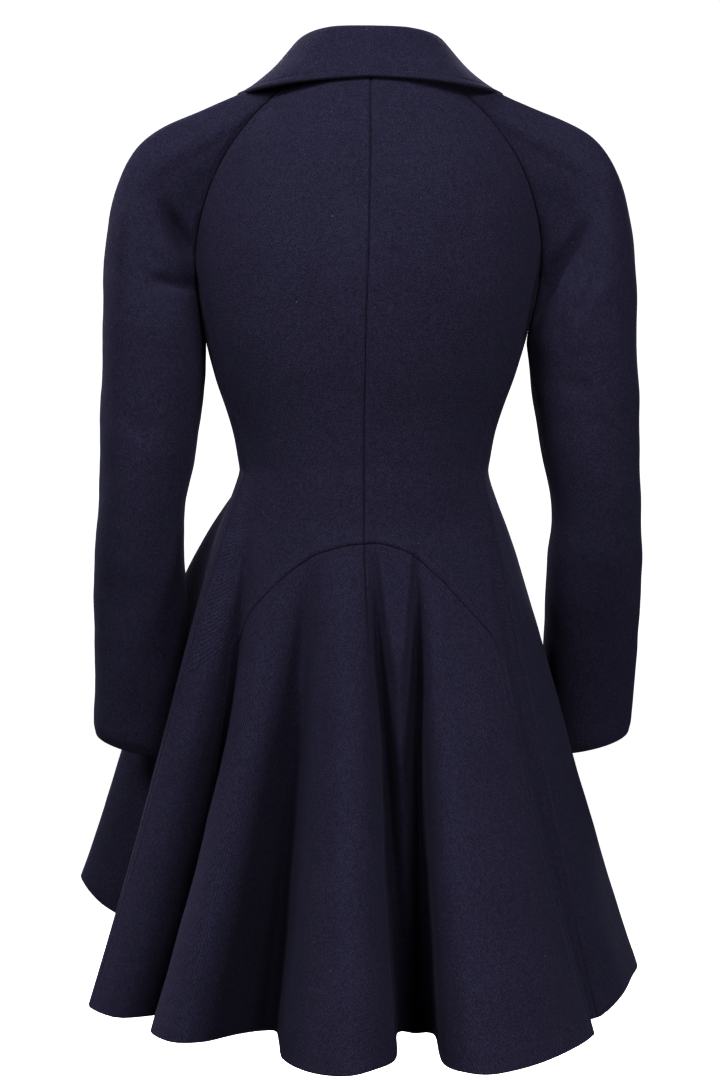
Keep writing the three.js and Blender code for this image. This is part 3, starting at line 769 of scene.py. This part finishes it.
# Lamps: turn from straight behind towards the wearer's left, rise, power, whether the front has one
LAMPS = {
    "high_left": (50, 42, 122, True), "high_right": (-22, 42, 112, True), "middle": (22, 24, 40, True),
    "low_left": (80, -14, 28, False), "low_right": (-50, -14, 92, False),
}
SKY = 0.02
LAMP_REACH = 3.3
LAMP_SIZE = 0.9
LAMP_AIM = Vector((0, 0, -0.45))


def lamp(name, turn, rise, power, face):
    turn = math.radians(turn)
    rise = math.radians(rise)
    level = math.cos(rise)
    away = Vector((math.sin(turn) * level, math.cos(turn) * level * face, math.sin(rise)))
    data = bpy.data.lights.new(name, "AREA")
    data.shape = "DISK"
    data.size = LAMP_SIZE
    data.energy = power
    made = add_object(name, data)
    made.location = LAMP_AIM + away * LAMP_REACH
    made.rotation_euler = (-away).to_track_quat("-Z", "Y").to_euler()


def light():
    world = bpy.data.worlds.new("studio")
    bpy.context.scene.world = world
    world.use_nodes = True
    give(world.node_tree.nodes["Background"], {"Color": (1, 1, 1, 1), "Strength": SKY})
    for name, (turn, rise, power, both) in LAMPS.items():
        lamp(f"{name}_back", turn, rise, power, 1)
        if both:
            lamp(f"{name}_front", turn, rise, power, -1)


camera()
floor()
backdrop()
light()
bpy.context.scene.view_settings.view_transform = "Standard"
bpy.context.scene.view_settings.gamma = VIEW_GAMMA

# Body panels


def seam_points(line, mirror):
    at, down = line
    return surface(at * mirror, down)


SEAM_RELIEF = {"stitched": welt, "plain": plain_seam, "under": under_seam}


def relief(points, lines, seed):
    """Raised and sunk detail of a body panel: first the slow part, then the sewing."""
    slow = ripple(points, 90, 1.3, seed) + ripple(points, 38, 0.35, seed + 1)
    sewn = np.zeros(len(points))
    for kind, line in lines:
        gap = distance(points, line)
        slow = slow * smooth(gap / 25 + 0.1)
        if kind in SEAM_RELIEF:
            sewn = sewn + SEAM_RELIEF[kind](gap)
    return slow, sewn


def make_panel(name, cloth, lines, mirror, seed):
    """Body panel with the relief of its lines, rounded at all of them."""
    slow, sewn = relief(cloth.points, lines, seed)
    gap = np.min([distance(cloth.points, line) for _, line in lines], axis=0)
    return cloth_piece(name, cloth, slow, sewn, edge_round(gap, WALL), WALL, mirror < 0)


def stitches_on_body(line, mirror, inset, lines, seed):
    """A row of topstitching beside a seam of a body panel."""
    at, down = line
    at, down = shift_line(at * mirror, down, inset)
    points = surface(at, down)
    slow, sewn = relief(points, lines, seed)
    return stitch_row(points, outward(at, down), slow + sewn)


def strip_down(at, share):
    """Heights in the strip beside the arched seam, from its top to the hem."""
    return mix(mix(ARCH_END, STRIP_TOP, (at - ARCH_ANGLE) / (SIDE_ANGLE - ARCH_ANGLE)), BACK_HEM, share)


def joined(*parts):
    """One line from several that follow each other."""
    return tuple(np.concatenate(values) for values in zip(*parts))


def back_panel(mirror, name, seed):
    """Bodice above the arched seam, with the strip beside it down to the hem."""
    cloth = Cloth()
    share = 0.8
    dense = 160
    foot_e = np.linspace(0, 1, dense)
    in_arch = foot_e <= share
    strip_e = (foot_e - share) / (1 - share)
    foot_at = np.where(in_arch, ARCH_ANGLE * foot_e / share, mix(ARCH_ANGLE, SIDE_ANGLE, strip_e))
    foot_down = np.where(in_arch, follow(ARCH, "at", foot_at, "down"), mix(ARCH_END, STRIP_TOP, strip_e))
    edge_at, edge_down = edge_line("back", STRIP_TOP, 240)
    top_down = follow(NECK, "at", NECK_BACK * foot_e, "down")
    rows = 1 - np.concatenate([np.linspace(STRIP_TOP, FINE[-1], 140)[:-1], FINE[::-1]]) / STRIP_TOP
    rows = np.unique(np.concatenate([FINE[:5] / STRIP_TOP, rows[rows > FINE[4] / STRIP_TOP]]))
    strip_marks = spread(64)
    split = int(np.sum(in_arch))
    laid = []
    for s in rows:
        down = mix(top_down, foot_down, s)
        wide = np.interp(down, edge_down, edge_at)
        at = mix(foot_e * wide, foot_at, smooth(min(1.0, s * 1.3)))
        at[-1] = np.interp(down[-1], edge_down, edge_at)
        at_a, down_a = put(at[:split], down[:split], mirror, spread(170, False))
        at_b, down_b = put(at[split - 1:], down[split - 1:], mirror, strip_marks)
        laid.append(joined((at_a[:-1], down_a[:-1]), (at_b, down_b)))
    index = body_grid(cloth, laid, mirror)
    cloth.weave(index)
    columns = len(at_b)
    top_at = laid[-1][0][-columns:]
    strip_rows = np.linspace(0, 1, 80)[1:-1]
    strip_rows = np.concatenate([strip_rows, 1 - FINE[4::-1] / (BACK_HEM - STRIP_TOP)])
    laid = []
    for s in np.unique(strip_rows):
        at = np.linspace(ARCH_ANGLE, SIDE_ANGLE, 40)
        at, down = put(at, strip_down(at, s), mirror, strip_marks)
        blend = smooth(s * 6)
        laid.append((mix(top_at, at, blend), mix(strip_down(top_at, s), down, blend)))
    lower = body_grid(cloth, laid, mirror)
    cloth.uv[lower.ravel()] += cloth.uv[index[-1, -columns]]
    cloth.weave(np.concatenate([index[-1:, -columns:], lower]))
    side_down = np.linspace(UNDERARM, BACK_HEM, 90)
    lines = [
        ("plain", seam_points(centre_line(0, ARCH_TOP), mirror)),
        ("stitched", seam_points(joined(raglan_line("back"), (side_at(side_down), side_down)), mirror)),
        ("stitched", seam_points(joined(arch_line(), strip_line()), mirror)),
        ("edge", surface(np.linspace(ARCH_ANGLE, SIDE_ANGLE, 20) * mirror, BACK_HEM)),
    ]
    piece = make_panel(name, cloth, lines, mirror, seed)
    strip = [values[1:] for values in strip_line()]
    edge = [values[2:] for values in edge_line("back", BACK_HEM, 180)]
    inset = STITCH_INSET * mirror
    thread = thread_piece(f"topstitch_{name}", [
        stitches_on_body(joined(arch_line(), strip), mirror, inset, lines, seed),
        stitches_on_body(edge, mirror, -inset, lines, seed),
    ])
    return piece, [finish_piece(thread, THREAD)]


def back_skirt(mirror, name, seed):
    """Skirt back below the arched seam."""
    cloth = Cloth()
    at = np.linspace(0, ARCH_ANGLE, 400)
    top = follow(ARCH, "at", at, "down")
    marks = spread(430)
    tall = 420
    rows = np.concatenate([FINE / tall, np.linspace(FINE[-1] / tall, 1, 104)[1:-1], 1 - FINE[4::-1] / tall])
    guide = place_on(surface(at * mirror, mix(top, BACK_HEM, 0.85)), *marks)
    laid = [put(at, mix(top, BACK_HEM, s), mirror, marks, guide, smooth(s * 1.4) * 0.6 * (s < 1))
            for s in np.unique(rows)]
    cloth.weave(body_grid(cloth, laid, mirror))
    lines = [
        ("plain", seam_points(centre_line(ARCH_TOP, BACK_HEM), mirror)),
        ("under", seam_points(joined(arch_line(), strip_line()), mirror)),
        ("edge", surface(np.linspace(0, ARCH_ANGLE, 160) * mirror, BACK_HEM)),
    ]
    return make_panel(name, cloth, lines, mirror, seed), []


def overlap_lift(at, mirror):
    if mirror > 0:
        return np.zeros_like(at)
    return OVERLAP_LIFT * smooth((at - OVERLAP_START) / OVERLAP_RAMP)


def front_panel(mirror, name, seed):
    """Front from the neckline to the hem, with the overlap at its edge."""
    cloth = Cloth()
    edge_at, edge_down = edge_line("front", BACK_HEM, 400)
    e = np.linspace(0, 1, 420)
    marks = spread(400)
    tall = BACK_HEM - FRONT_TOP
    rows = np.concatenate([FINE[:5] / tall, np.linspace(FINE[4] / tall, 1, 216)[1:-1],
                           1 - FINE[4::-1] / tall])
    low_at = mix(SIDE_ANGLE, FRONT_EDGE, e)
    guide = place_on(surface(low_at * mirror, np.full(len(e), 860.0)), *marks)
    laid = []
    for s in np.unique(rows):
        side_down = mix(FRONT_TOP, BACK_HEM, s)
        at = mix(np.interp(side_down, edge_down, edge_at), FRONT_EDGE, e)
        down = mix(follow(NECK, "at", np.minimum(at, 195), "down"), BACK_HEM, s)
        down = mix(down, side_down, (1 - e) ** 4)
        laid.append(put(at, down, mirror, marks, guide, smooth(s * 1.3 - 0.3) * 0.6))
    cloth.weave(body_grid(cloth, laid, mirror, overlap_lift))
    neck = np.linspace(NECK_FRONT, FRONT_EDGE, 40)
    edge_v = np.linspace(70, BACK_HEM, 120)
    front_at = np.full(120, FRONT_EDGE)
    lift = OVERLAP_LIFT if mirror < 0 else 0
    front_edge = surface(front_at * mirror, edge_v) + outward(front_at * mirror, edge_v) * lift
    lines = [
        ("plain", seam_points((edge_at, edge_down), mirror)),
        ("stitched" if mirror < 0 else "edge", front_edge),
        ("edge", surface(np.linspace(SIDE_ANGLE, FRONT_EDGE, 200) * mirror, BACK_HEM)),
        ("edge", surface(neck * mirror, follow(NECK, "at", neck, "down"))),
    ]
    piece = make_panel(name, cloth, lines, mirror, seed)
    if mirror > 0:
        return piece, []
    at, down = shift_line(front_at[3:] * mirror, edge_v[3:], STITCH_INSET)
    normals = outward(at, down)
    points = surface(at, down) + normals * overlap_lift(-at, mirror)[:, None]
    slow, sewn = relief(points, lines, seed)
    thread = thread_piece(f"topstitch_{name}", [stitch_row(points, normals, slow + sewn)])
    return piece, [finish_piece(thread, THREAD)]


# Sleeves


def sleeve_ring(side, down, angles, last):
    """Ring of the sleeve at a height; last is the share of the way to the slanting cuff."""
    inner, outer, mid, deep = follow_each(SLEEVES[side], "down", down, "inner outer mid deep")
    c = np.cos(np.radians(angles))
    s = np.sin(np.radians(angles))
    middle = (inner + outer) / 2
    half = abs(outer - inner) / 2
    x = middle + side * half * np.sign(c) * np.abs(c) ** SLEEVE_SQUARE
    y = mid + deep * np.sign(s) * np.abs(s) ** SLEEVE_SQUARE
    tilt = CUFF_TILT * (y - mid) - CUFF_LEAN * side * (x - middle)
    return np.stack([x, y, -down - last * last * tilt], -1)


def sleeve_loop():
    """Seam loop of the sleeve head: angle on the body, height, and angle on the arm."""
    share = np.linspace(0, 1, 64)
    across = np.linspace(0, 1, 28)[1:-1]
    fall = 1 - (1 - share) ** RAGLAN_EASE
    down_back = mix(BACK_TOP, UNDERARM, fall)
    down_front = mix(FRONT_TOP, UNDERARM, fall)[::-1]
    neck_at = mix(NECK_FRONT, NECK_BACK, across)
    at = np.concatenate([follow(RAGLAN, "down", down_back, "back"),
                         follow(RAGLAN, "down", down_front, "front")[1:], neck_at])
    down = np.concatenate([down_back, down_front[1:], follow(NECK, "at", neck_at, "down")])
    arm = np.concatenate([30 + 150 * share ** ARM_EASE,
                          (180 + 150 * (1 - (1 - share) ** ARM_EASE))[1:], 330 + 60 * across])
    return at, down, arm


def grid_normals(points, closed):
    """Directions from the neighbours in a grid of points."""
    if closed:
        du = np.roll(points, -1, axis=1) - np.roll(points, 1, axis=1)
    else:
        du = np.gradient(points, axis=1)
    dv = np.gradient(points, axis=0)
    return unit(np.cross(du, dv))


# Sleeve creases: face (1 is the back, -1 the front), depth, width, points across and up
SLEEVE_CREASES = {
    1: [
        (1, 10.0, 6.5, [(194, -132), (182, -156), (168, -180), (152, -206)]),
        (1, -4.0, 8.0, [(204, -168), (184, -192), (160, -208)]),
        (1, 7.5, 6.0, [(208, -211), (182, -215), (152, -218)]),
        (1, -2.4, 11.0, [(222, -126), (224, -170), (222, -213)]),
        (1, 1.6, 9.0, [(236, -330), (212, -352), (190, -362)]),
        (1, 0.7, 12.0, [(244, -420), (216, -440), (190, -446)]),
        (-1, 3.4, 7.5, [(176, -410), (200, -424), (232, -420)]),
        (-1, 2.8, 7.0, [(178, -446), (204, -452), (230, -444)]),
        (-1, 3.0, 8.0, [(168, -250), (190, -236), (208, -210)]),
        (-1, 2.0, 9.0, [(166, -286), (194, -282), (222, -262)]),
    ],
    -1: [
        (1, 13.0, 6.5, [(-210, -150), (-192, -180), (-180, -198), (-170, -220), (-158, -256)]),
        (1, -4.5, 9.0, [(-214, -200), (-200, -226), (-190, -250), (-184, -276)]),
        (1, -2.6, 9.0, [(-236, -196), (-216, -226), (-198, -262), (-190, -292)]),
        (1, 3.4, 7.5, [(-226, -196), (-206, -226), (-194, -262)]),
        (1, 2.0, 9.0, [(-176, -300), (-196, -312), (-222, -316)]),
        (1, 0.7, 12.0, [(-184, -398), (-208, -414), (-240, -410)]),
        (-1, 3.4, 7.5, [(-178, -416), (-202, -428), (-236, -420)]),
        (-1, 2.8, 7.0, [(-180, -452), (-206, -460), (-236, -452)]),
        (-1, 3.0, 8.0, [(-170, -252), (-192, -238), (-212, -212)]),
        (-1, 2.0, 9.0, [(-168, -290), (-196, -286), (-226, -266)]),
    ],
}


def sleeve(side, name, seed):
    """Raglan sleeve, an open tube from the neckline and armhole to the cuff."""
    cloth = Cloth()
    at, down, arm = sleeve_loop()
    levels = SLEEVES[side]["down"]
    head = surface(at * side, down)
    facing = outward(at * side, down)
    ring = sleeve_ring(side, levels[0], arm, 0)
    reach = np.linalg.norm(head - ring, axis=1, keepdims=True)
    away = unit(np.array([side, 0, -0.5]))
    flat = away - facing * (facing @ away * 0.75)[:, None]
    low = (np.maximum(0, np.cos(np.radians(arm - 180))) ** 3)[:, None]
    leave = unit(mix(flat, np.array([0.12 * side, 0, -1]), low))
    after = head + leave * reach * mix(0.55, 0.3, low)
    before = ring + np.array([0, 0, 1]) * reach * mix(0.77, 0.3, low)
    t = np.linspace(0, 1, 140)[:, None, None]
    k = 1 - t
    cap = head * k ** 3 + after * 3 * k * k * t + before * 3 * k * t * t + ring * t ** 3
    count = np.arange(len(cap))
    cap = np.stack([along_each(place_on(path, FINE, FINE[:1], 66) * count[-1], count, path)
                    for path in cap.swapaxes(0, 1)], 1)
    below = np.concatenate([np.arange(levels[0], levels[-1] - 12, 3.6)[1:],
                            levels[-1] - np.array([10.5, 8, 6, 4, 2.4, 1.5, 0.8, 0.3, 0])])
    last = np.interp(below, levels, np.linspace(0, 1, len(levels)))
    rings = [sleeve_ring(side, level, arm, share) for level, share in zip(below, last)]
    points = np.concatenate([cap, np.array(rings)])
    cloth.weave(cloth.add(points, -grid_normals(points, True) * side, metric(points)), closed=True)
    p = cloth.points
    slow = ripple(p, 70, 1.5, seed) + ripple(p, 30, 0.4, seed + 1)
    for face, depth, wide, rows in SLEEVE_CREASES[side]:
        slow = slow + crease(p, cloth.normals, rows, face, depth, wide)
    gap_seam, gap_cuff = (distance(p, np.concatenate([row, row[:1]])) for row in (points[0], points[-1]))
    gap_under = distance(p, points[::4, np.argmin(np.abs(arm - 180))])
    slow = (slow + SLEEVE_EASE) * smooth(gap_seam / 8) * smooth(gap_cuff / 16 + 0.2)
    sewn = plain_seam(gap_seam) - 0.8 * np.exp(-(gap_under / 1.4) ** 2)
    drop = edge_round(np.minimum(gap_seam, gap_cuff), WALL)
    return cloth_piece(name, cloth, slow, sewn, drop, WALL, side > 0), []


# Collar


def collar(_, name, seed):
    """Turn-down collar, which has no mirror: stand, rounded roll and fall."""
    cloth = Cloth()
    end = np.array([0, 0.15, 0.4, 0.8, 1.4, 2.2, 3.2, 4.4])
    at = np.concatenate([-COLLAR_END + end, np.linspace(-COLLAR_END + 6, COLLAR_END - 6, 168),
                         COLLAR_END - end[::-1]])
    sign = np.sign(at)
    turn = np.abs(at)

    def line(name_of):
        x, y, z = follow_each(COLLAR, "at", turn, f"{name_of}_x {name_of}_y {name_of}_z")
        return np.stack([x * sign + COLLAR_SHIFT, y, z], -1)

    neck_down = follow(NECK, "at", turn, "down")
    foot = surface(at, neck_down) - outward(at, neck_down) * 0.6 + np.array([0, 0, 1.5])
    roll = line("roll")
    edge = line("edge")
    away = edge - roll
    away[:, 2] = 0
    away = unit(away)
    bulge = (1 + 4 * np.maximum(0, np.cos(np.radians(at))))[:, None]
    up = np.array([0, 0, 1.0])
    shape = np.stack([
        foot,
        mix(foot, roll, 0.5),
        roll - 5 * up,
        roll + 2 * away - 0.5 * up,
        roll + 6.5 * away + 1 * up,
        roll + 11 * away - 3 * up,
        mix(roll, edge, 0.45) + away * bulge - 1 * up,
        mix(roll, edge, 0.75) + away * (bulge - 2.5),
        edge,
    ], 1)
    places = []
    for row in shape:
        run = run_along(row)
        want = np.concatenate([FINE[:4], np.linspace(FINE[4], run[-1] - FINE[-1], 44)[:-1],
                               run[-1] - FINE[::-1]])
        places.append(np.stack([hermite(run, row[:, n].copy(), want) for n in range(3)], -1))
    points = np.stack(places, 0)
    normals = grid_normals(points, False)
    index = cloth.add(points, -normals if normals[88, -8] @ away[88] < 0 else normals, metric(points))
    cloth.weave(index)
    p = cloth.points
    gap = np.min([distance(p, border) for border in (points[:, -1], points[0], points[-1])], axis=0)
    gap_foot = distance(p, points[:, 0])
    slow = ripple(p, 60, 0.9, seed) * smooth(gap_foot / 20)
    sewn = -0.8 * np.exp(-((gap - STITCH_INSET) / 1.1) ** 2) + 0.35 * smooth(gap) * (gap < 5.4)
    drop = edge_round(np.minimum(gap, gap_foot), COLLAR_WALL * COLLAR_ROUND)
    sewn = np.where(gap_foot < 30, 0, sewn)
    piece = cloth_piece(name, cloth, slow, sewn, drop, COLLAR_WALL, True)
    grid = cloth.normals.reshape(points.shape)
    face = points + grid * (slow + sewn - drop).reshape(points.shape[:2] + (1,))
    columns = np.arange(points.shape[1])[-16:]
    stitched = []
    for i in range(6, len(points) - 6):
        reach = np.linalg.norm(points[i, -1] - points[i, columns], axis=1)
        order = np.argsort(reach)
        share = np.interp(STITCH_INSET, reach[order], columns[order])
        low = int(share)
        stitched.append([mix(rows[i, low], rows[i, low + 1], share - low) for rows in (face, grid)])
    line_points, line_normals = np.array(stitched).swapaxes(0, 1)
    stitches = stitch_row(line_points, unit(line_normals), np.zeros(len(line_points)))
    return piece, [finish_piece(thread_piece(f"topstitch_{name}", [stitches]), THREAD)]


# Buttons


def lathe(outline, sides):
    """Turned form from radius and height pairs: vertices and quads."""
    turn = np.linspace(0, 2 * math.pi, sides, endpoint=False)
    verts = np.concatenate([
        np.stack([r * np.cos(turn), r * np.sin(turn), np.full(sides, h)], -1) for r, h in outline
    ])
    return verts, woven(np.arange(len(verts)).reshape(-1, sides), True)


def button_frame(down):
    """Place of a button and its directions: across, up and out of the cloth."""
    at = np.array([BUTTONS["at"]])
    normal = outward(at, np.array([down]))[0]
    place = surface(at, np.array([down]))[0] + normal * (OVERLAP_LIFT + 0.6)
    across = unit(np.cross(np.array([0, 0, 1.0]), normal))
    return place, np.stack([across, np.cross(normal, across), normal])


def button(number, down):
    """Four-hole button with a raised rim and crossed thread."""
    r = BUTTONS["radius"]
    h = BUTTONS["thick"]
    place, turn = button_frame(down)
    outline = [(0.01, 0.2), (r - 2.2, 0.2), (r - 1.0, 0.5), (r - 0.35, 1.1), (r, 1.9), (r - 0.1, 2.8),
               (r - 0.7, 3.6), (r - 1.6, h), (r - 2.5, h - 0.15), (r - 3.3, h - 0.7),
               (r - 4.2, h - 1.15), (r - 5.4, h - 1.3), (4.6, h - 1.3), (0.01, h - 1.3)]
    verts, quads = lathe(outline, 48)
    piece = new_mesh(f"button_{number}_disc", (verts @ turn + place) * MM, quads)
    finish_piece(piece, RESIN, [f"button_{number}"])
    rows = []
    for angle in (45, 135):
        c = math.cos(math.radians(angle))
        s = math.sin(math.radians(angle))
        for shift in (-0.45, 0.45):
            q = np.linspace(-1, 1, 9)
            lift = h - 1.2 + 0.75 * (1 - q ** 4)
            line = np.stack([q * 2.6 * c - shift * s, q * 2.6 * s + shift * c, lift], -1)
            points, faces = thread_tube(line, BUTTONS["thread"])
            rows.append((points @ turn + place, faces))
    thread = finish_piece(thread_piece(f"button_{number}_thread", rows), THREAD)
    thread.parent = piece


def buttonhole(number, down):
    """Worked buttonhole: a thread edge round a slit that runs under the button."""
    r = BUTTONHOLE["wide"] / 2
    near = -BUTTONHOLE["edge_side"]
    far = near + BUTTONHOLE["long"]
    turn = np.linspace(-math.pi / 2, math.pi / 2, 7)
    loop = [(far + r * math.cos(a), r * math.sin(a)) for a in turn]
    loop += [(x, r) for x in np.linspace(far, near, 9)[1:-1]]
    loop += [(near - r * math.cos(a), -r * math.sin(a)) for a in turn]
    loop += [(x, -r) for x in np.linspace(near, far, 9)[1:]]
    per_degree = np.linalg.norm(surface(1.0 - BUTTONS["at"], down) - surface(-BUTTONS["at"], down))
    at = np.array([-BUTTONS["at"] + x / per_degree for x, _ in loop])
    downs = np.array([down - y for _, y in loop])
    lift = overlap_lift(-at, -1) + 0.35
    line = surface(at, downs) + outward(at, downs) * lift[:, None]
    verts, quads = thread_tube(line, BUTTONHOLE["thread"])
    return finish_piece(new_mesh(f"buttonhole_{number}", verts * MM, quads), THREAD)


def thread_tube(line, radius):
    """Round thread along a line of points."""
    sides = 6
    tangent = unit(np.gradient(line, axis=0))
    side = unit(np.cross(tangent, np.array([0.01, 0.02, 1.0])))
    up = np.cross(side, tangent)
    angles = [2 * math.pi * k / sides for k in range(sides)]
    rings = [line + (side * math.cos(a) + up * math.sin(a)) * radius for a in angles]
    verts = np.stack(rings, 1).reshape(-1, 3)
    index = np.arange(len(verts)).reshape(len(line), sides)
    caps = np.array([[3, 2, 1, 0], [0, 5, 4, 3]])
    tail = np.array([[0, 1, 2, 3], [3, 4, 5, 0]]) + index[-1, 0]
    return verts, np.concatenate([woven(index, True), caps, tail])


# Each piece: how it is made, its side, the seed of its unevenness and the pieces that it rests on
PIECES = {
    "back_left": (back_panel, 1, 11, ["collar", "back_right", "sleeve_left"]),
    "back_right": (back_panel, -1, 12, ["collar", "back_left", "sleeve_right"]),
    "back_skirt_left": (back_skirt, 1, 13, ["back_left", "back_skirt_right"]),
    "back_skirt_right": (back_skirt, -1, 14, ["back_right", "back_skirt_left"]),
    "front_left": (front_panel, 1, 15, ["collar", "back_left", "sleeve_left"]),
    "front_right": (front_panel, -1, 16, ["collar", "back_right", "sleeve_right"]),
    "sleeve_left": (sleeve, 1, 17, ["collar", "back_left", "front_left"]),
    "sleeve_right": (sleeve, -1, 18, ["collar", "back_right", "front_right"]),
    "collar": (collar, 0, 19, ["back_left", "back_right", "front_left", "front_right"]),
}
made = {name: make(mirror, name, seed) for name, (make, mirror, seed, _) in PIECES.items()}
for number in range(1, BUTTONS["count"] + 1):
    share = (number - 1) / (BUTTONS["count"] - 1)
    height = mix(BUTTONS["top"], BUTTONS["bottom"], share)
    button(number, height)
    made["front_right"][1].append(buttonhole(number, height))
